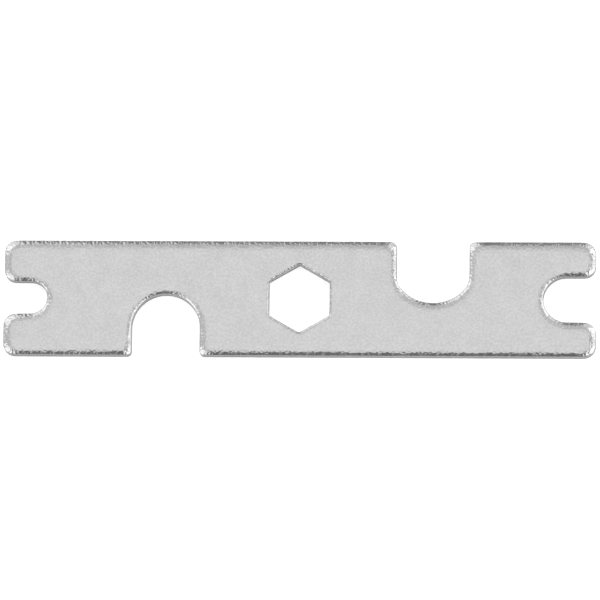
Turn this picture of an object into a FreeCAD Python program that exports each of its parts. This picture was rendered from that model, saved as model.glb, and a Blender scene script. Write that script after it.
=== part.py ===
import FreeCAD, Part
import math
import os

import Sketcher

# Flat multi-size spanner, blanked in one stroke from steel strip.
#
# The plate lies on its back face. +X runs along its length, +Y across it and +Z is up, out of
# the front face, whose rim rolled over in blanking. The origin is at the middle of the back face.
# It has an open jaw in each end, one in each long side, and a hexagon hole in the middle.

DIMENSIONS = [
    # alias, value in millimetres, what it is
    ("overall_length", 131.0, "length of the plate, end to end"),
    ("overall_width", 25.8, "width of the strip"),
    ("plate_thickness", 3.0, "thickness of the strip"),
    ("lower_left_corner_radius", 2.5, "blank corner at -X, -Y"),
    ("lower_right_corner_radius", 2.7, "blank corner at +X, -Y"),
    ("upper_right_corner_radius", 2.7, "blank corner at +X, +Y"),
    ("upper_left_corner_radius", 2.4, "blank corner at -X, +Y"),
    ("left_end_opening", 7.3, "jaw in the -X end, for a 7 mm nut"),
    ("left_end_depth", 9.6, "from the -X end to the floor of its jaw"),
    ("right_end_opening", 10.3, "jaw in the +X end, for a 10 mm nut"),
    ("right_end_depth", 11.6, "from the +X end to the floor of its jaw"),
    ("tooth_corner_radius", 2.5, "where an end jaw opens into the end of the plate"),
    ("tooth_flat", 0.2, "least straight run left on the end of a tooth, between its corners"),
    ("lower_side_opening", 15.1, "jaw in the -Y side, for a 15 mm nut"),
    ("lower_side_depth", 13.8, "from the -Y side to the floor of its jaw"),
    ("lower_side_station", 29.5, "from the middle of the plate to the jaw in the -Y side"),
    ("lower_lip_radius", 1.0, "where the jaw in the -Y side opens into that side"),
    ("upper_side_opening", 16.1, "jaw in the +Y side, for a 16 mm nut"),
    ("upper_side_depth", 13.8, "from the +Y side to the floor of its jaw"),
    ("upper_side_station", 29.5, "from the middle of the plate to the jaw in the +Y side"),
    ("upper_floor_flattening", 1.3, "what the floor arc of that jaw adds to half of its opening"),
    ("upper_root_radius", 4.5, "between the floor arc of that jaw and its walls"),
    ("upper_left_lip_radius", 1.3, "lip of that jaw on its -X side"),
    ("upper_right_lip_radius", 1.0, "lip of that jaw on its +X side"),
    ("hex_opening", 13.4, "hexagon hole, across its flats, for a 13 mm nut"),
    ("hex_corner_radius", 0.2, "the six corners of the hexagon hole"),
    ("punch_overrun", 2.0, "how far a jaw's punch reaches past the edge of the blank"),
    ("rim_roll_radius", 0.8, "roll-over of the outline on the front face"),
    ("hex_roll_radius", 0.3, "roll-over round the hexagon hole on the front face"),
    ("back_break_radius", 0.15, "tumbled edge on the back, outline and hole alike"),
]

# How a sketch names its origin, its axes and the points of an edge.
ORIGIN = (-1, 1)
X_AXIS = -1
Y_AXIS = -2
START, END, CENTRE = 1, 2, 3

HEX_SIDES = 6
TOUCHING = 1e-4


class Jaw:
    """An open jaw: where its mouth meets the edge of the plate, and which way it opens.

    It is drawn as if its mouth were at the origin and it opened towards +X, and is then turned
    and carried to its place. mouth_x and mouth_y are formulas of the sheet.
    """

    def __init__(self, name, mouth_x, mouth_y, turn):
        self.name = name
        self.mouth_x = mouth_x
        self.mouth_y = mouth_y
        self.turn = turn
        self.opening = f"Dimensions.{name}_opening"
        self.depth = f"Dimensions.{name}_depth"


LEFT_END = Jaw("left_end", "-Dimensions.overall_length / 2", "0", 180)
RIGHT_END = Jaw("right_end", "Dimensions.overall_length / 2", "0", 0)
LOWER_SIDE = Jaw("lower_side", "-Dimensions.lower_side_station", "-Dimensions.overall_width / 2", -90)
UPPER_SIDE = Jaw("upper_side", "Dimensions.upper_side_station", "Dimensions.overall_width / 2", 90)


def fill_sheet(document):
    """Put every driving dimension in a spreadsheet cell that carries its alias."""
    sheet = document.addObject("Spreadsheet::Sheet", "Dimensions")
    for row, (alias, value, meaning) in enumerate(DIMENSIONS, start=1):
        sheet.set(f"A{row}", alias)
        sheet.set(f"B{row}", str(value))
        sheet.set(f"C{row}", meaning)
        sheet.setAlias(f"B{row}", alias)
    document.recompute()
    return sheet


def value_of(sheet, formula):
    """Work a formula of the sheet out, in millimetres."""
    return float(sheet.evalExpression(formula))


def new_sketch(body, name):
    """Start a sketch on the body's own XY plane, which is the back face of the plate."""
    sketch = body.newObject("Sketcher::SketchObject", name)
    plane = next(item for item in body.Origin.OriginFeatures if item.Role == "XY_Plane")
    sketch.AttachmentSupport = [(plane, "")]
    sketch.MapMode = "FlatFace"
    return sketch


def line(start, end):
    """Straight edge of a sketch."""
    return Part.LineSegment(FreeCAD.Vector(*start, 0), FreeCAD.Vector(*end, 0))


def arc(centre_x, radius, first_degrees, last_degrees, centre_y=0):
    """Arc of a sketch, counter-clockwise from one direction to the other."""
    circle = Part.Circle(FreeCAD.Vector(centre_x, centre_y, 0), FreeCAD.Vector(0, 0, 1), radius)
    return Part.ArcOfCircle(circle, math.radians(first_degrees), math.radians(last_degrees))


def relate(sketch, kind, *where):
    """Add a relation that has no size, such as tangency."""
    sketch.addConstraint(Sketcher.Constraint(kind, *where))


def measure(sketch, name, formula, kind, *where):
    """Add a dimension and tie it to the sheet."""
    size = value_of(sketch.Document.Dimensions, formula)
    index = sketch.addConstraint(Sketcher.Constraint(kind, *where, size))
    sketch.renameConstraint(index, name)
    sketch.setExpression(f"Constraints.{name}", formula)


def close_ring(sketch, edges):
    """Join the end of each edge to the start of the next, all the way round."""
    for edge, following in zip(edges, edges[1:] + edges[:1]):
        relate(sketch, "Coincident", edge, END, following, START)


def pad_blank(body, sheet):
    """The strip cut to length: a rectangle about the origin, as thick as the strip."""
    half_length = sheet.overall_length / 2
    half_width = sheet.overall_width / 2
    corners = [
        (-half_length, -half_width),
        (half_length, -half_width),
        (half_length, half_width),
        (-half_length, half_width),
    ]
    sketch = new_sketch(body, "BlankOutline")
    edges = [sketch.addGeometry(line(a, b)) for a, b in zip(corners, corners[1:] + corners[:1])]
    lower, right, upper, left = edges
    close_ring(sketch, edges)
    for level in (lower, upper):
        relate(sketch, "Horizontal", level)
    for upright in (left, right):
        relate(sketch, "Vertical", upright)
    relate(sketch, "Symmetric", lower, START, upper, START, *ORIGIN)
    measure(sketch, "length", "Dimensions.overall_length", "DistanceX", lower, START, lower, END)
    measure(sketch, "width", "Dimensions.overall_width", "DistanceY", right, START, right, END)

    pad = body.newObject("PartDesign::Pad", "Blank")
    pad.Profile = sketch
    pad.setExpression("Length", "Dimensions.plate_thickness")
    body.Document.recompute()


def draw_walls(sketch, jaw, wall_end):
    """Both walls of a jaw and the line that closes its mouth, open between the walls' ends."""
    sheet = sketch.Document.Dimensions
    half = value_of(sheet, jaw.opening) / 2
    overrun = sheet.punch_overrun
    mouth = sketch.addGeometry(line((overrun, -half), (overrun, half)))
    upper_wall = sketch.addGeometry(line((overrun, half), (wall_end, half)))
    lower_wall = sketch.addGeometry(line((wall_end, -half), (overrun, -half)))
    relate(sketch, "Coincident", mouth, END, upper_wall, START)
    relate(sketch, "Coincident", lower_wall, END, mouth, START)
    relate(sketch, "Horizontal", upper_wall)
    relate(sketch, "Horizontal", lower_wall)
    relate(sketch, "Symmetric", mouth, START, mouth, END, X_AXIS)
    measure(sketch, "opening", jaw.opening, "DistanceY", mouth, START, mouth, END)
    measure(sketch, "overrun", "Dimensions.punch_overrun", "DistanceX", *ORIGIN, mouth, START)
    return upper_wall, lower_wall


def draw_round_jaw(sketch, jaw):
    """A jaw whose floor is one half circle, as wide as the jaw."""
    sheet = sketch.Document.Dimensions
    radius = value_of(sheet, f"{jaw.opening} / 2")
    centre = radius - value_of(sheet, jaw.depth)
    upper_wall, lower_wall = draw_walls(sketch, jaw, centre)
    floor = sketch.addGeometry(arc(centre, radius, 90, 270))
    relate(sketch, "Tangent", upper_wall, END, floor, START)
    relate(sketch, "Tangent", floor, END, lower_wall, START)
    measure(sketch, "centre", f"{jaw.depth} - {jaw.opening} / 2", "DistanceX", floor, CENTRE, *ORIGIN)


def draw_flattened_jaw(sketch, jaw, flattening, root):
    """A jaw whose floor is one wide arc with a tighter root arc at each end.

    The root circle touches the wall and, from inside, the floor circle. So the centres lie
    floor minus root apart, and the root centre is half minus root away from the axis.
    """
    sheet = sketch.Document.Dimensions
    half = value_of(sheet, jaw.opening) / 2
    floor_radius = half + value_of(sheet, flattening)
    root_radius = value_of(sheet, root)
    floor_centre = floor_radius - value_of(sheet, jaw.depth)
    root_offset = half - root_radius
    centre_spacing = floor_radius - root_radius
    root_centre = floor_centre - math.sqrt(centre_spacing**2 - root_offset**2)
    meeting = math.degrees(math.asin(root_offset / centre_spacing))

    upper_wall, lower_wall = draw_walls(sketch, jaw, root_centre)
    upper_root = sketch.addGeometry(arc(root_centre, root_radius, 90, 180 - meeting, root_offset))
    floor = sketch.addGeometry(arc(floor_centre, floor_radius, 180 - meeting, 180 + meeting))
    lower_root = sketch.addGeometry(arc(root_centre, root_radius, 180 + meeting, 270, -root_offset))
    ring = [upper_wall, upper_root, floor, lower_root, lower_wall]
    for edge, following in zip(ring, ring[1:]):
        relate(sketch, "Tangent", edge, END, following, START)
    relate(sketch, "Equal", upper_root, lower_root)
    relate(sketch, "PointOnObject", floor, CENTRE, X_AXIS)
    measure(sketch, "root", root, "Radius", upper_root)
    measure(sketch, "floor", f"{jaw.opening} / 2 + {flattening}", "Radius", floor)
    centre = f"{jaw.depth} - {jaw.opening} / 2 - {flattening}"
    measure(sketch, "centre", centre, "DistanceX", floor, CENTRE, *ORIGIN)


def place_jaw(sketch, jaw):
    """Turn a jaw's sketch the way the jaw opens, and carry it to its mouth."""
    sheet = sketch.Document.Dimensions
    mouth = FreeCAD.Vector(value_of(sheet, jaw.mouth_x), value_of(sheet, jaw.mouth_y), 0)
    turned = FreeCAD.Rotation(FreeCAD.Vector(0, 0, 1), jaw.turn)
    sketch.AttachmentOffset = FreeCAD.Placement(mouth, turned)
    sketch.setExpression(".AttachmentOffset.Base.x", jaw.mouth_x)
    sketch.setExpression(".AttachmentOffset.Base.y", jaw.mouth_y)


def punch_through(body, sketch, name):
    """Cut a sketch through the plate, from the back face up, and see that it removed metal."""
    before = body.Shape.Volume
    pocket = body.newObject("PartDesign::Pocket", name)
    pocket.Profile = sketch
    pocket.Type = "ThroughAll"
    pocket.Reversed = True
    body.Document.recompute()
    if not body.Shape.Volume < before - 1:
        raise RuntimeError(f"{name} removed nothing")


def punch_hexagon(body, sheet):
    """The hexagon hole: corners towards +Y and -Y, flats towards +X and -X."""
    across = sheet.hex_opening
    radius = across / math.sqrt(3)
    angles = [math.radians(90 + 360 / HEX_SIDES * step) for step in range(HEX_SIDES)]
    corners = [(radius * math.cos(angle), radius * math.sin(angle)) for angle in angles]
    sketch = new_sketch(body, "HexagonOutline")
    sides = [sketch.addGeometry(line(a, b)) for a, b in zip(corners, corners[1:] + corners[:1])]
    around = sketch.addGeometry(Part.Circle(FreeCAD.Vector(), FreeCAD.Vector(0, 0, 1), radius), True)
    close_ring(sketch, sides)
    relate(sketch, "Coincident", around, CENTRE, *ORIGIN)
    for side in sides:
        relate(sketch, "PointOnObject", side, START, around)
    for side in sides[1:]:
        relate(sketch, "Equal", sides[0], side)
    relate(sketch, "PointOnObject", sides[0], START, Y_AXIS)
    measure(sketch, "around", "Dimensions.hex_opening / sqrt(3)", "Radius", around)
    punch_through(body, sketch, "Hexagon")
    return corners


def round_edges(body, name, wanted, formula):
    """Round the edges of the plate for which wanted(edge) holds."""
    tip = body.Tip
    names = [f"Edge{i}" for i, edge in enumerate(tip.Shape.Edges, start=1) if wanted(edge)]
    if not names:
        raise RuntimeError(f"{name} found no edge")
    fillet = body.newObject("PartDesign::Fillet", name)
    fillet.Base = (tip, names)
    fillet.setExpression("Radius", formula)
    body.Document.recompute()


def upright_at(places):
    """Test for an edge that runs through the plate's thickness at one of these places."""

    def wanted(edge):
        ends = [vertex.Point for vertex in edge.Vertexes]
        if len(ends) != 2 or math.dist(ends[0][:2], ends[1][:2]) > TOUCHING:
            return False
        return any(math.dist(ends[0][:2], place) < TOUCHING for place in places)

    return wanted


def mouth_corners(sheet, jaw):
    """Where the walls of a jaw meet the edge of the plate: the lower wall first, then the upper."""
    half = value_of(sheet, jaw.opening) / 2
    mouth = FreeCAD.Vector(value_of(sheet, jaw.mouth_x), value_of(sheet, jaw.mouth_y), 0)
    turned = FreeCAD.Rotation(FreeCAD.Vector(0, 0, 1), jaw.turn)
    corners = [mouth + turned.multVec(FreeCAD.Vector(0, side * half, 0)) for side in (-1, 1)]
    return [(corner.x, corner.y) for corner in corners]


def tooth_radius(jaw, side):
    """Radius of an end jaw's corners, held to what the tooth beside its outer corner can take."""
    tooth = f"(Dimensions.overall_width - {jaw.opening}) / 2"
    outer = f"max(Dimensions.lower_{side}_corner_radius; Dimensions.upper_{side}_corner_radius)"
    return f"min(Dimensions.tooth_corner_radius; {tooth} - {outer} - Dimensions.tooth_flat)"


def rim_at(level, reach, inside):
    """Test for an edge that lies at this height, inside or outside a radius about the middle."""

    def wanted(edge):
        box = edge.BoundBox
        if abs(box.ZMin - level) > TOUCHING or abs(box.ZMax - level) > TOUCHING:
            return False
        point = edge.valueAt(edge.FirstParameter)
        return (math.hypot(point.x, point.y) < reach) == inside

    return wanted


def build_plate(document, sheet):
    """The whole spanner, in the order it is made: blank, jaws, hexagon, corners and rims."""
    body = document.addObject("PartDesign::Body", "WrenchPlate")
    body.Label = "wrench_plate"
    pad_blank(body, sheet)

    for jaw in (LEFT_END, RIGHT_END, LOWER_SIDE):
        sketch = new_sketch(body, f"{jaw.name}_outline")
        draw_round_jaw(sketch, jaw)
        place_jaw(sketch, jaw)
        punch_through(body, sketch, f"{jaw.name}_jaw")
    sketch = new_sketch(body, "upper_side_outline")
    draw_flattened_jaw(
        sketch, UPPER_SIDE, "Dimensions.upper_floor_flattening", "Dimensions.upper_root_radius"
    )
    place_jaw(sketch, UPPER_SIDE)
    punch_through(body, sketch, "upper_side_jaw")
    hex_corners = punch_hexagon(body, sheet)

    half_length = sheet.overall_length / 2
    half_width = sheet.overall_width / 2
    upper_right_lip, upper_left_lip = mouth_corners(sheet, UPPER_SIDE)
    corners = [
        ("lower_left_corner", [(-half_length, -half_width)]),
        ("lower_right_corner", [(half_length, -half_width)]),
        ("upper_right_corner", [(half_length, half_width)]),
        ("upper_left_corner", [(-half_length, half_width)]),
        ("lower_lip", mouth_corners(sheet, LOWER_SIDE)),
        ("upper_left_lip", [upper_left_lip]),
        ("upper_right_lip", [upper_right_lip]),
        ("hex_corner", hex_corners),
    ]
    for name, places in corners:
        round_edges(body, name, upright_at(places), f"Dimensions.{name}_radius")
    for jaw, side in ((LEFT_END, "left"), (RIGHT_END, "right")):
        teeth = upright_at(mouth_corners(sheet, jaw))
        round_edges(body, f"{side}_teeth", teeth, tooth_radius(jaw, side))

    hex_reach = sheet.hex_opening / math.sqrt(3) + TOUCHING
    front = sheet.plate_thickness
    round_edges(body, "rim_roll", rim_at(front, hex_reach, False), "Dimensions.rim_roll_radius")
    round_edges(body, "hex_roll", rim_at(front, hex_reach, True), "Dimensions.hex_roll_radius")
    back = "Dimensions.back_break_radius"
    round_edges(body, "outline_break", rim_at(0, hex_reach, False), back)
    round_edges(body, "hex_break", rim_at(0, hex_reach, True), back)
    return body


def check(document, bodies):
    """Stop unless every feature worked and every sub-part is one sound solid."""
    for item in document.Objects:
        if "Invalid" in item.State or "Error" in item.State:
            raise RuntimeError(f"{item.Label} failed: {item.State}")
        if item.TypeId == "Sketcher::SketchObject" and not item.FullyConstrained:
            raise RuntimeError(f"{item.Label} isn't fully constrained")
    for body in bodies:
        if body.Shape.isNull() or not body.Shape.isValid() or len(body.Shape.Solids) != 1:
            raise RuntimeError(f"{body.Label} isn't one sound solid")


document = FreeCAD.newDocument("MultiSpanner")
dimensions = fill_sheet(document)
plate = build_plate(document, dimensions)
document.recompute()
check(document, [plate])

os.makedirs("parts", exist_ok=True)
plate.Shape.exportStep(f"parts/{plate.Label}.step")
print(plate.Label, "volume", round(plate.Shape.Volume, 1), "mm3, box", plate.Shape.BoundBox)
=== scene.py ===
import math

import bpy
import numpy as np
from mathutils import Matrix, Vector
from mathutils.geometry import delaunay_2d_cdt


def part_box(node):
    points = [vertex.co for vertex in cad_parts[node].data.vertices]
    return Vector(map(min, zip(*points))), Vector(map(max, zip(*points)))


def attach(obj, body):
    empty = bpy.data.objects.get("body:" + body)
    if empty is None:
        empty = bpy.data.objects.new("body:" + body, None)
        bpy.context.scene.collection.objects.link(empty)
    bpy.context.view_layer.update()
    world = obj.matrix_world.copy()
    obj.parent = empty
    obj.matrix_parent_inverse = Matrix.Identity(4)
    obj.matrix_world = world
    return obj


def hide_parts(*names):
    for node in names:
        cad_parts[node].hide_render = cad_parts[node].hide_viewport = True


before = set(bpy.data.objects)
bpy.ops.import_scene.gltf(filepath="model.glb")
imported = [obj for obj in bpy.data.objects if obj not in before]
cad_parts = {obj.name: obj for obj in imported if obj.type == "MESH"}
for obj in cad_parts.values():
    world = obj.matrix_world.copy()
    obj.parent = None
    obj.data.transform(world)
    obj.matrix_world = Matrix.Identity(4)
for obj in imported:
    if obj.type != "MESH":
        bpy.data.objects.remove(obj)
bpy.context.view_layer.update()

MM = 0.001
PLATE = "wrench_plate"
scene = bpy.context.scene

# ---- Camera ----
# A long lens looks almost straight down on the plate. It stands a little towards the plate's
# near long side and its right end, so that the cut walls facing those ways just show.

low_corner, high_corner = (np.array(corner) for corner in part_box(PLATE))
thickness = high_corner[2] - low_corner[2]

camera_distance = 1.35
lean_to_near_side = math.radians(11.5)
lean_to_right_end = math.radians(3.0)
roll = math.radians(0.83)
framed_width = 132.7 * MM
aim = Vector((0.10 * MM, -0.16 * MM, thickness / 2))

towards_camera = Vector(
    (
        math.sin(lean_to_right_end) * math.cos(lean_to_near_side),
        -math.sin(lean_to_near_side),
        math.cos(lean_to_right_end) * math.cos(lean_to_near_side),
    )
).normalized()
level_right = Vector((0, 1, 0)).cross(towards_camera).normalized()
level_up = towards_camera.cross(level_right)
camera_right = level_right * math.cos(roll) + level_up * math.sin(roll)
camera_up = level_up * math.cos(roll) - level_right * math.sin(roll)

camera_data = bpy.data.cameras.new("studio_camera")
camera_data.sensor_width = 36.0
camera_data.lens = camera_data.sensor_width * camera_distance / framed_width
camera_data.clip_start = 0.1
camera_data.clip_end = 20.0
camera = bpy.data.objects.new("studio_camera", camera_data)
scene.collection.objects.link(camera)
turned = Matrix((camera_right, camera_up, towards_camera)).transposed().to_4x4()
camera.matrix_world = Matrix.Translation(aim + towards_camera * camera_distance) @ turned
scene.camera = camera

# ---- The plate's outline ----
# One piece of steel strip, blanked in a press. The outline runs round the plate with the metal
# on its left: four blank corners, and an open jaw in each end and each long side.

half_length = high_corner[0]
half_width = high_corner[1]
left_lower_corner, left_upper_corner = 2.5 * MM, 2.4 * MM
right_corner = 2.7 * MM
tooth_corner = 2.5 * MM
side_jaw_place, side_jaw_depth = 29.5 * MM, 13.8 * MM
left_opening, left_depth = 7.3 * MM, 9.6 * MM
right_opening, right_depth = 10.3 * MM, 11.6 * MM
lower_opening, lower_lip = 15.1 * MM, 1.0 * MM
upper_opening, upper_right_lip, upper_left_lip = 16.1 * MM, 1.0 * MM, 1.3 * MM
upper_flattening, upper_root = 1.3 * MM, 4.5 * MM


def jaw(mouth, opens, opening, depth, lips, flattening=0.0, root=None):
    """Corners of an open jaw, as rows of x, y and corner radius.

    Across the mouth the jaw runs from -half to +half of its opening, and it is cut depth deep.
    A round floor is two corners as round as half the opening. A flattened floor is a wide arc,
    of half the opening plus flattening, with a root arc at each wall. The arcs meet at the
    angle whose sine is (half - root) / (wide - root), and the lines that touch both arcs
    there cross on the jaw's axis, at wide / cos(angle) from the wide arc's centre.
    """
    half = opening / 2
    if root is None:
        floor = [(-half, depth, half), (half, depth, half)]
    else:
        wide = half + flattening
        meeting = math.asin((half - root) / (wide - root))
        apex = depth - wide + wide / math.cos(meeting)
        shoulder = apex - half * math.tan(meeting)
        floor = [(-half, shoulder, root), (0.0, apex, wide), (half, shoulder, root)]
    rows = np.array([(-half, 0.0, lips[0]), *floor, (half, 0.0, lips[1])])
    outwards = np.array(opens, dtype=float)
    along = np.array((-outwards[1], outwards[0]))
    places = np.array(mouth) + rows[:, :1] * along - rows[:, 1:2] * outwards
    return np.column_stack([places, rows[:, 2]])


outline_corners = np.vstack(
    [
        [(-half_length, -half_width, left_lower_corner)],
        jaw(
            (-side_jaw_place, -half_width), (0, -1), lower_opening, side_jaw_depth,
            (lower_lip, lower_lip),
        ),
        [(half_length, -half_width, right_corner)],
        jaw((half_length, 0.0), (1, 0), right_opening, right_depth, (tooth_corner, tooth_corner)),
        [(half_length, half_width, right_corner)],
        jaw(
            (side_jaw_place, half_width), (0, 1), upper_opening, side_jaw_depth,
            (upper_right_lip, upper_left_lip), upper_flattening, upper_root,
        ),
        [(-half_length, half_width, left_upper_corner)],
        jaw((-half_length, 0.0), (-1, 0), left_opening, left_depth, (tooth_corner, tooth_corner)),
    ]
)


def rounded(corners, arc_steps=25):
    """Closed path of straight runs and corner arcs, from rows of x, y and corner radius.

    An arc touches both runs of its corner. Its centre is on the corner's bisector, at radius /
    sin(half the corner's angle), and its points turn from one touching point to the other by
    spherical interpolation between the two spokes.
    """
    place, radius = corners[:, None, :2], corners[:, None, 2:]
    behind = np.roll(place, 1, axis=0) - place
    ahead = np.roll(place, -1, axis=0) - place
    behind = behind / np.linalg.norm(behind, axis=2, keepdims=True)
    ahead = ahead / np.linalg.norm(ahead, axis=2, keepdims=True)
    half_angle = np.arccos(np.sum(behind * ahead, axis=2, keepdims=True)) / 2
    bisector = (behind + ahead) / np.linalg.norm(behind + ahead, axis=2, keepdims=True)
    centre = place + bisector * radius / np.sin(half_angle)
    first_spoke = place + behind * radius / np.tan(half_angle) - centre
    last_spoke = place + ahead * radius / np.tan(half_angle) - centre
    sweep = math.pi - 2 * half_angle
    share = np.linspace(0, 1, arc_steps)[None, :, None]
    turned_spoke = np.sin((1 - share) * sweep) * first_spoke + np.sin(share * sweep) * last_spoke
    return (centre + turned_spoke / np.sin(sweep)).reshape(-1, 2)


def evenly(path, spacing):
    """Points of a closed path that lie a fixed distance apart along it."""
    closed = np.vstack([path, path[:1]])
    run = np.concatenate([[0], np.cumsum(np.linalg.norm(np.diff(closed, axis=0), axis=1))])
    stops = np.linspace(0, run[-1], round(run[-1] / spacing), endpoint=False)
    return np.column_stack([np.interp(stops, run, closed[:, axis]) for axis in (0, 1)])


outline_spacing = 0.22 * MM
outline = evenly(rounded(outline_corners), outline_spacing)

# ---- The hexagon hole's outline ----
# Pierced through the middle of the plate, with corners towards its long sides. It is walked
# the other way round, so that the metal is on its left too.

hexagon_across = 13.4 * MM
hexagon_corner = 0.2 * MM
hexagon_spacing = 0.1 * MM
hexagon_turns = math.pi / 2 - np.arange(6) * math.pi / 3
hexagon_corners = np.column_stack(
    [
        hexagon_across / math.sqrt(3) * np.cos(hexagon_turns),
        hexagon_across / math.sqrt(3) * np.sin(hexagon_turns),
        np.full(6, hexagon_corner),
    ]
)
hexagon = evenly(rounded(hexagon_corners, arc_steps=9), hexagon_spacing)

# ---- The rolled face ----
# The press drags the rim of the front face down over the cut before it shears. The metal sinks
# most at outward corners, where little metal backs it, less along straight edges, and least
# round the jaws' floors. The hexagon's roll is small and keeps close to its edge.

outline_reach = 1.4 * MM
outline_sink = 2.0 * MM
hexagon_reach = 0.5 * MM
hexagon_sink = 1.0 * MM
cell = 0.1 * MM
margin = 4 * outline_reach


def metal_share(path, filled, reach):
    """How much of the area round each cell of a grid is metal: 1 deep inside, 0 outside.

    Row by row, each crossing of the path adds or removes all that lies to its right, with a
    share of the cell it falls in. The map is then blurred along both axes with a bell curve
    whose standard deviation is the reach.
    """
    rows = np.arange(-half_width - margin, half_width + margin, cell) + cell / 2
    columns = np.arange(-half_length - margin, half_length + margin, cell)
    start, end = path, np.roll(path, -1, axis=0)
    rising = (start[:, 1] <= rows[:, None]) & (end[:, 1] > rows[:, None])
    falling = (start[:, 1] > rows[:, None]) & (end[:, 1] <= rows[:, None])
    row, edge = np.nonzero(rising | falling)
    sign = np.where(rising[row, edge], -1.0, 1.0)
    way = (rows[row] - start[edge, 1]) / (end[edge, 1] - start[edge, 1])
    across = (start[edge, 0] + way * (end[edge, 0] - start[edge, 0]) - columns[0]) / cell
    column = np.floor(across).astype(int)
    change = np.zeros((len(rows), len(columns) + 1))
    np.add.at(change, (row, column), sign * (column + 1 - across))
    np.add.at(change, (row, column + 1), sign * (across - column))
    inside = np.cumsum(change, axis=1)[:, :-1]
    metal = inside if filled else 1 - inside

    def bell(count):
        away = (np.arange(count)[:, None] - np.arange(count)) * cell / reach
        weight = np.exp(-(away**2) / 2)
        return weight / weight.sum(axis=1, keepdims=True)

    blurred = bell(len(rows)) @ metal @ bell(len(columns)).T
    return columns + cell / 2, rows, blurred


def read_map(grid, points):
    """Value of a grid map at points, straight-line interpolated between its four cells."""
    columns, rows, values = grid
    u = (points[..., 0] - columns[0]) / cell
    v = (points[..., 1] - rows[0]) / cell
    i, j = np.floor(u).astype(int), np.floor(v).astype(int)
    a, b = u - i, v - j
    lower = (1 - a) * values[j, i] + a * values[j, i + 1]
    upper = (1 - a) * values[j + 1, i] + a * values[j + 1, i + 1]
    return (1 - b) * lower + b * upper


outline_metal = metal_share(outline, True, outline_reach)
hexagon_metal = metal_share(hexagon[::-1], False, hexagon_reach)


def front_sink(points):
    """How far the front face lies below its flat level: sink * (missing metal)**2, summed."""
    missing_outside = 1 - read_map(outline_metal, points)
    missing_inside = 1 - read_map(hexagon_metal, points)
    return outline_sink * missing_outside**2 + hexagon_sink * missing_inside**2


# ---- The cut wall and the back edge ----
# Under the rolled rim a small nose leads to the wall, which stands square on the strip. The
# edge on the back is only broken by tumbling.

nose = 0.16 * MM
back_break = 0.15 * MM
rim_insets = np.array([0.72, 0.58, 0.46, 0.36, 0.28, 0.21]) * MM
nose_turns = np.linspace(0, math.pi / 2, 6)
wall_shares = np.linspace(0, 1, 9)
break_turns = np.linspace(0, math.pi / 2, 4)
back_insets = np.array([0.3, 0.6]) * MM


def walk_round(path):
    """The plate's edge as a profile carried along a closed path, as rows of x, y and z.

    The rows start on the front face, inset from the path, follow the rolled rim and its quarter
    round nose, go down the wall and round the back edge, and end on the back face.
    """
    tangent = np.roll(path, -1, axis=0) - np.roll(path, 1, axis=0)
    outwards = np.column_stack([tangent[:, 1], -tangent[:, 0]])
    outwards = outwards / np.linalg.norm(outwards, axis=1, keepdims=True)

    front_insets = np.concatenate([rim_insets, nose * (1 - np.sin(nose_turns))])
    front_drops = np.concatenate([np.zeros(len(rim_insets)), nose * (1 - np.cos(nose_turns))])
    front_places = path - front_insets[:, None, None] * outwards
    front_levels = thickness - front_sink(front_places) - front_drops[:, None]

    wall_top = front_levels[-1]
    wall_levels = wall_top + wall_shares[1:, None] * (back_break - wall_top)
    wall_places = np.broadcast_to(path, (len(wall_levels), *path.shape))

    edge_insets = np.concatenate([back_break * (1 - np.cos(break_turns[1:])), back_insets])
    edge_heights = np.concatenate(
        [back_break * (1 - np.sin(break_turns[1:])), np.zeros(len(back_insets))]
    )
    edge_places = path - edge_insets[:, None, None] * outwards
    edge_levels = np.broadcast_to(edge_heights[:, None], (len(edge_heights), len(path)))

    places = np.concatenate([front_places, wall_places, edge_places])
    levels = np.concatenate([front_levels, wall_levels, edge_levels])
    return np.concatenate([places, levels[..., None]], axis=2)


def ring_faces(rows, columns, first):
    """Four-sided faces between the rows of a closed band whose points start at first."""
    row = np.arange(rows - 1)[:, None]
    column = np.arange(columns)[None, :]
    here = first + row * columns + column
    beside = first + row * columns + (column + 1) % columns
    return np.stack([here, here + columns, beside + columns, beside], axis=-1).reshape(-1, 4)


outline_band = walk_round(outline)
hexagon_band = walk_round(hexagon)
band_rows = len(outline_band)

# ---- The flat faces ----
# What is left of the strip's two rolled surfaces inside the rims. The front carries points
# close together where it begins to sink, and far apart where it is flat.


def inside_metal(points, clearance):
    """Which points lie in the metal, at least clearance away from both outlines."""
    paths = np.vstack([outline, hexagon])
    gaps = np.full(len(points), np.inf)
    for part in np.array_split(np.arange(len(points)), max(1, len(points) // 2000)):
        away = points[part, None, :] - paths[None, :, :]
        gaps[part] = np.sqrt((away**2).sum(axis=2).min(axis=1))
    in_plate = read_map(outline_metal, points) > 0.5
    in_hexagon = read_map(hexagon_metal, points) < 0.5
    deep_enough = gaps > clearance
    return in_plate & ~in_hexagon & deep_enough, gaps


fine_spacing, coarse_spacing = 0.36 * MM, 1.8 * MM
fine_from, fine_to = 0.95 * MM, 4.4 * MM


def face_points():
    """Points of the front face inside the rims: a fine grid near the edges, a coarse one inside."""
    zones = ((fine_spacing, fine_from, fine_to), (coarse_spacing, fine_to, np.inf))
    chosen = []
    for spacing, nearest, farthest in zones:
        x = np.arange(-half_length, half_length, spacing) + spacing / 2
        y = np.arange(-half_width, half_width, spacing) + spacing / 2
        grid = np.stack(np.meshgrid(x, y), axis=-1).reshape(-1, 2)
        kept, gaps = inside_metal(grid, nearest)
        chosen.append(grid[kept & (gaps <= farthest)])
    return np.vstack(chosen)


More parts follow.
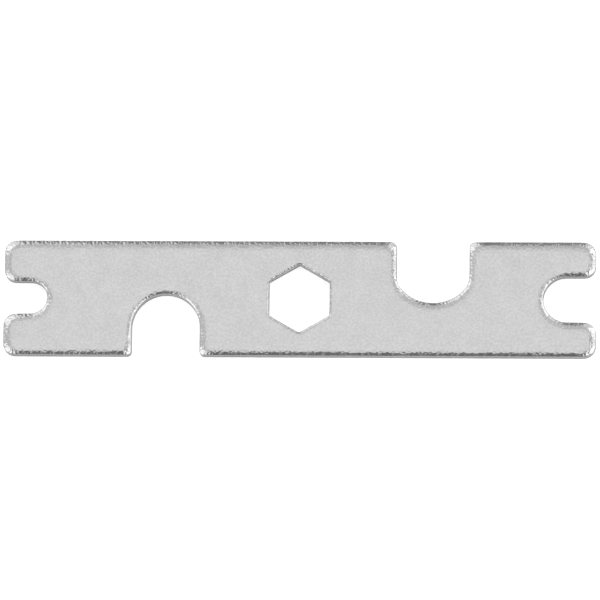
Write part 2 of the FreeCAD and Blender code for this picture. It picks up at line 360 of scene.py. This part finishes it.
def inside_ring(ring, points):
    """Which points lie in a closed ring.

    A line from such a point towards +X crosses the ring an odd number of times.
    """
    start, end = ring, np.roll(ring, -1, axis=0)
    x, y = points[:, :1], points[:, 1:]
    crossed = (start[:, 1] > y) != (end[:, 1] > y)
    rise = np.where(end[:, 1] == start[:, 1], 1.0, end[:, 1] - start[:, 1])
    meeting = start[:, 0] + (y - start[:, 1]) / rise * (end[:, 0] - start[:, 0])
    return (crossed & (meeting > x)).sum(axis=1) % 2 == 1


def fill_between(outer, inner, loose):
    """Triangles that fill the area between two closed rings and pass through the loose points."""
    points = np.vstack([outer, inner, loose])
    outer_edges = [(i, (i + 1) % len(outer)) for i in range(len(outer))]
    first = len(outer)
    inner_edges = [(first + i, first + (i + 1) % len(inner)) for i in range(len(inner))]
    flat = [Vector(point) for point in (points / MM).tolist()]
    result = delaunay_2d_cdt(flat, outer_edges + inner_edges, [], 1, 1e-6)
    triangles = np.array(result[2])
    origin = np.array([source[0] for source in result[3]])
    corners = origin[triangles]
    return corners[~inside_ring(inner, points[corners].mean(axis=1))]


loose_points = face_points()
outline_count, hexagon_count = len(outline), len(hexagon)
outline_total = band_rows * outline_count
hexagon_total = band_rows * hexagon_count
loose_levels = thickness - front_sink(loose_points)
plate_points = np.vstack(
    [
        outline_band.reshape(-1, 3),
        hexagon_band.reshape(-1, 3),
        np.column_stack([loose_points, loose_levels]),
    ]
)
first_loose = outline_total + hexagon_total
front_ids = np.concatenate(
    [
        np.arange(outline_count),
        outline_total + np.arange(hexagon_count),
        first_loose + np.arange(len(loose_points)),
    ]
)
back_ids = np.concatenate(
    [
        outline_total - outline_count + np.arange(outline_count),
        first_loose - hexagon_count + np.arange(hexagon_count),
    ]
)
front_faces = front_ids[fill_between(outline_band[0, :, :2], hexagon_band[0, :, :2], loose_points)]
no_points = np.zeros((0, 2))
back_faces = back_ids[fill_between(outline_band[-1, :, :2], hexagon_band[-1, :, :2], no_points)]
bands = np.vstack(
    [
        ring_faces(band_rows, outline_count, 0),
        ring_faces(band_rows, hexagon_count, outline_total),
    ]
)
plate_faces = [*bands.tolist(), *front_faces.tolist(), *back_faces[:, ::-1].tolist()]

mesh = bpy.data.meshes.new("spanner_plate")
mesh.from_pydata(plate_points.tolist(), [], plate_faces)
mesh.polygons.foreach_set("use_smooth", np.ones(len(mesh.polygons), dtype=bool))

nose_rows_above_wall = 2
break_rows_below_wall = 2
wall_rows = slice(
    len(rim_insets) + nose_rows_above_wall, band_rows - len(back_insets) - break_rows_below_wall
)
on_wall = np.zeros(band_rows, dtype=np.float32)
on_wall[wall_rows] = 1.0
walls = np.concatenate(
    [
        np.repeat(on_wall, outline_count),
        np.repeat(on_wall, hexagon_count),
        np.zeros(len(loose_points), dtype=np.float32),
    ]
)
mesh.attributes.new("cut_wall", "FLOAT", "POINT").data.foreach_set("value", walls)
flat_places = plate_points[:, :2]
drawn = 2 - read_map(outline_metal, flat_places) - read_map(hexagon_metal, flat_places)
drawn = np.where(plate_points[:, 2] > thickness / 2, np.clip(2 * drawn, 0, 1), 0)
drawn_values = drawn.astype(np.float32)
mesh.attributes.new("drawn_rim", "FLOAT", "POINT").data.foreach_set("value", drawn_values)
mesh.validate()
mesh.update()

plate = bpy.data.objects.new("spanner_plate", mesh)
scene.collection.objects.link(plate)

# ---- Zinc finish ----
# Bright zinc, a few microns thick, plated over rolled strip. It follows the steel's fine grain
# and sparkles. The grain stands out more where the press has drawn the rim down, and the cut
# wall is burnished under the rim and torn below, with drag lines from front to back.

plain_grey = 0.545
grain_tone = (-0.028, 0.028)
patch_tone = (-0.016, 0.016)
# The whole cut wall is painted darker: partly the duller colour of its rough sheared zinc, partly
# painted shade standing in for the shaded table by its foot, which the wall reflects.
wall_dark_and_painted_shade = 0.3
drag_darker = (0.02, 0.12)
torn_from, torn_fully = 2.1 * MM, 1.7 * MM
plain_roughness = (0.18, 0.26)
torn_rougher = 0.18
noise_range = (0.3, 0.7)
rim_range = (0.0, 0.8)
grain_strength = (0.11, 0.62)
grain_height = 0.14 * MM
crystal_share = 0.03
grain_cells = (1950.0, 1950.0, 1950.0)
crystal_cells = (9000.0, 9000.0, 9000.0)
patch_cells = (260.0, 260.0, 260.0)
drag_cells = (5200.0, 5200.0, 260.0)
drag_height = 0.06 * MM

zinc = bpy.data.materials.new("bright_zinc_plate")
zinc.use_nodes = True
nodes, links = zinc.node_tree.nodes, zinc.node_tree.links
surface = nodes["Principled BSDF"]
surface.inputs["Metallic"].default_value = 1.0
where = nodes.new("ShaderNodeTexCoord")


def noise(cells, detail):
    """Noise of that many cells per metre along each axis, with that many finer layers."""
    mapping = nodes.new("ShaderNodeMapping")
    mapping.inputs["Scale"].default_value = cells
    links.new(where.outputs["Object"], mapping.inputs["Vector"])
    texture = nodes.new("ShaderNodeTexNoise")
    texture.inputs["Scale"].default_value = 1.0
    texture.inputs["Detail"].default_value = detail
    links.new(mapping.outputs["Vector"], texture.inputs["Vector"])
    return texture.outputs["Fac"]


def spread(value, source, target):
    """A value carried in proportion from one range to another, and held at its ends."""
    node = nodes.new("ShaderNodeMapRange")
    for name, number in zip(("From Min", "From Max", "To Min", "To Max"), (*source, *target)):
        node.inputs[name].default_value = number
    links.new(value, node.inputs["Value"])
    return node.outputs["Result"]


def combine(operation, first, second):
    """Two values joined by one sum, each a number or the output of another node."""
    node = nodes.new("ShaderNodeMath")
    node.operation = operation
    for socket, value in zip(node.inputs, (first, second)):
        if isinstance(value, float):
            socket.default_value = value
        else:
            links.new(value, socket)
    return node.outputs["Value"]


def read_attribute(name):
    """The mesh's own point attribute of that name."""
    node = nodes.new("ShaderNodeAttribute")
    node.attribute_name = name
    return node.outputs["Fac"]


def bump(height, distance, strength, below=None):
    """A bumped normal: height times distance, as strong as strength, over the normal below."""
    node = nodes.new("ShaderNodeBump")
    node.inputs["Distance"].default_value = distance
    links.new(strength, node.inputs["Strength"])
    links.new(height, node.inputs["Height"])
    if below is not None:
        links.new(below, node.inputs["Normal"])
    return node.outputs["Normal"]


wall = read_attribute("cut_wall")
rim = read_attribute("drawn_rim")
grain = noise(grain_cells, 0.0)
crystals = noise(crystal_cells, 1.0)
patches = noise(patch_cells, 2.0)
drag_lines = noise(drag_cells, 2.0)
split = nodes.new("ShaderNodeSeparateXYZ")
links.new(where.outputs["Object"], split.inputs["Vector"])
low_down = spread(split.outputs["Z"], (torn_fully, torn_from), (1.0, 0.0))
torn = combine("MULTIPLY", wall, low_down)

strip_tone = combine(
    "ADD", spread(grain, noise_range, grain_tone), spread(patches, noise_range, patch_tone)
)
drag_tone = combine("MULTIPLY", torn, spread(drag_lines, noise_range, drag_darker))
# Wall tone: the painted darkening of the cut wall, part sheared zinc and part painted shade, plus
# the darker drag lines of its torn zone.
wall_tone_and_painted_shade = combine("ADD", combine("MULTIPLY", wall, wall_dark_and_painted_shade), drag_tone)
grey = combine("SUBTRACT", combine("ADD", strip_tone, plain_grey), wall_tone_and_painted_shade)
colour = nodes.new("ShaderNodeCombineColor")
for channel in ("Red", "Green", "Blue"):
    links.new(grey, colour.inputs[channel])
links.new(colour.outputs["Color"], surface.inputs["Base Color"])

plain_gloss = spread(crystals, noise_range, plain_roughness)
gloss = combine("ADD", plain_gloss, combine("MULTIPLY", torn, torn_rougher))
links.new(gloss, surface.inputs["Roughness"])

relief = combine("ADD", grain, combine("MULTIPLY", crystals, crystal_share))
grained = bump(relief, grain_height, spread(rim, rim_range, grain_strength))
links.new(bump(drag_lines, drag_height, wall, grained), surface.inputs["Normal"])
mesh.materials.append(zinc)

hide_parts(PLATE)
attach(plate, "root")

# ---- Table ----
# A plain matt white table top, wider than the view. The plate lies loose on it, on the back
# face's high spots. The top glows a little, so that it stays white close to the plate.

table_half = 3.0
table_level = -0.03 * MM
table_mesh = bpy.data.meshes.new("table_top")
table_mesh.from_pydata(
    [
        (-table_half, -table_half, table_level),
        (table_half, -table_half, table_level),
        (table_half, table_half, table_level),
        (-table_half, table_half, table_level),
    ],
    [],
    [(0, 1, 2, 3)],
)
table = bpy.data.objects.new("table_top", table_mesh)
scene.collection.objects.link(table)
white = bpy.data.materials.new("white_table")
white.use_nodes = True
white_surface = white.node_tree.nodes["Principled BSDF"]
table_white = (0.9, 0.9, 0.9, 1.0)
table_glow = 0.5
white_surface.inputs["Base Color"].default_value = table_white
white_surface.inputs["Roughness"].default_value = 0.8
white_surface.inputs["Emission Color"].default_value = (1.0, 1.0, 1.0, 1.0)
white_surface.inputs["Emission Strength"].default_value = table_glow
table_mesh.materials.append(white)

# ---- Lights ----
# A light tent: a large soft box overhead, a dimmer bank falling away behind, a panel leaning
# over each end of the plate and a box across each corner. The front is nearly dark.


def soft_box(name, place, width, height, radiance):
    """A flat light of that size at place, facing the plate, with an even brightness.

    Its power is radiance * area * pi, which is what an even flat light sends out.
    """
    light = bpy.data.lights.new(name, "AREA")
    light.shape = "RECTANGLE"
    light.size = width
    light.size_y = height
    light.energy = radiance * width * height * math.pi
    box = bpy.data.objects.new(name, light)
    scene.collection.objects.link(box)
    box.location = place
    box.rotation_euler = (-Vector(place)).to_track_quat("-Z", "Y").to_euler()


soft_box("overhead_box", (0.0, -0.06, 2.5), 2.06, 1.76, 1.045)
soft_box("back_top_box", (0.0, 1.16, 2.1), 2.0, 1.0, 0.66)
soft_box("back_low_box", (0.0, 1.6, 1.2), 1.6, 0.7, 0.06)
soft_box("horizon_box", (0.0, 2.2, 0.8), 2.4, 0.7, 0.18)
soft_box("front_low_box", (0.0, -1.9, 1.05), 2.4, 0.85, 0.22)
soft_box("left_panel", (-1.5, 0.0, 1.1), 3.0, 2.1, 0.67)
soft_box("right_panel", (1.5, 0.0, 1.1), 3.0, 1.7, 1.3)
soft_box("back_left_box", (-0.95, 1.2, 0.85), 1.4, 1.4, 1.2)
soft_box("back_right_box", (0.95, 1.2, 0.85), 1.4, 1.4, 0.9)
soft_box("front_left_box", (-1.3, -1.0, 1.0), 1.6, 1.6, 1.1)
soft_box("front_right_box", (1.3, -1.0, 1.0), 1.6, 1.6, 0.95)

world = bpy.data.worlds.new("studio_room")
world.use_nodes = True
room_grey = (0.14, 0.14, 0.14, 1.0)
world.node_tree.nodes["Background"].inputs["Color"].default_value = room_grey
scene.world = world
scene.view_settings.view_transform = "Standard"
